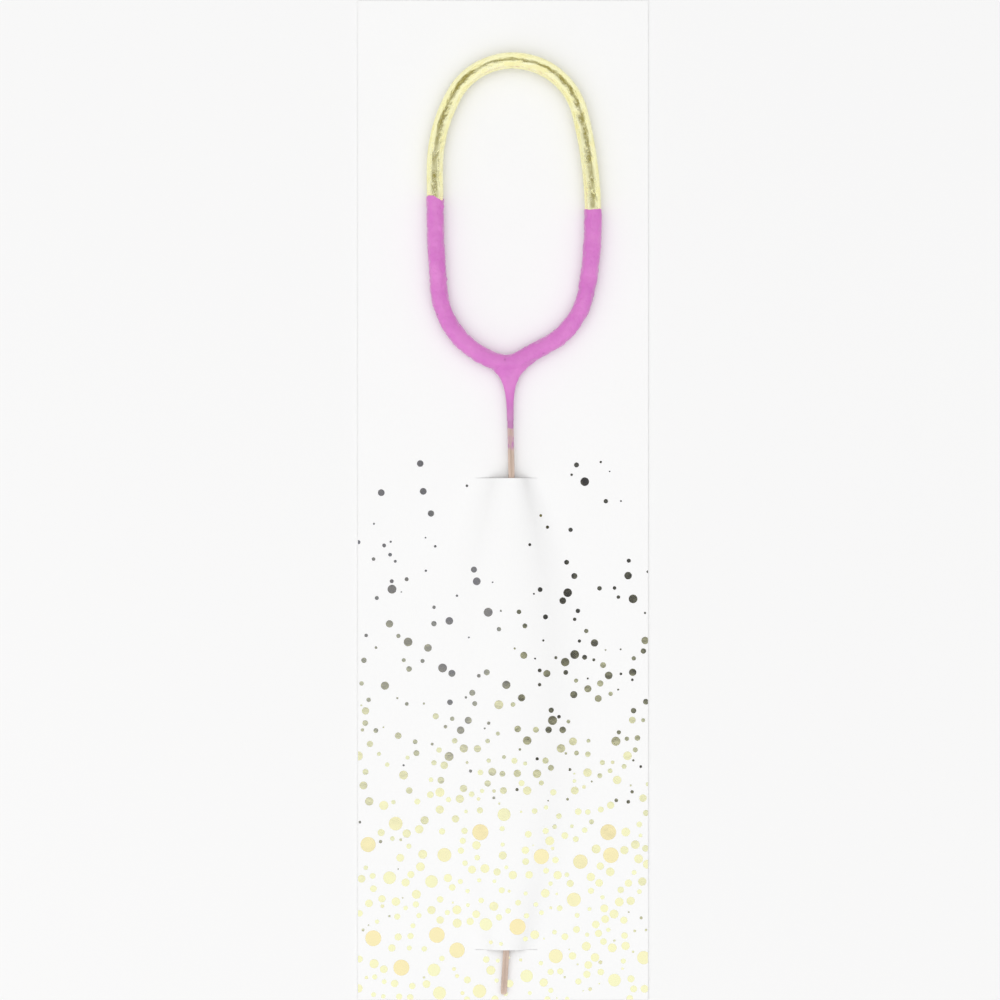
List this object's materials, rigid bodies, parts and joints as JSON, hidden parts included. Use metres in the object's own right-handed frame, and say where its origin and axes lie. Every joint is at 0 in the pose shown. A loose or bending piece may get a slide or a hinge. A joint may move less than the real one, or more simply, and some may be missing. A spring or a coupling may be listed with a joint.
{
  "type": "sparkler",
  "caption": "Zero-shaped sparkler on a copper-coloured wire, pink below and gold foil above, its stem threaded through slits in a white backing card with gold dots.",
  "frame": {"origin": "under the middle of the backing card, on the surface it lies on", "axes": "+Z out of the card's printed face, +Y up the card towards the top of the loop, +X to the right as the printed face is seen"},
  "size_m": [0.061, 0.21, 0.0046],
  "materials": {
    "card": "satin",
    "wire": "satin",
    "mix": "matte",
    "pink": "matte",
    "gold": "polished"
  },
  "bodies": {
    "card": {"backing_card": "card"},
    "sparkler": {"wire": "wire", "sparkler_mix": "mix", "pink_coat": "pink", "gold_foil": "gold"}
  },
  "joints": [
    {"name": "sparkler_slide", "type": "slide", "parent": "card", "child": "sparkler", "axis": [0.0111, 0.9999, 0.0086], "range_m": [-0.011, 0.108]}
  ]
}
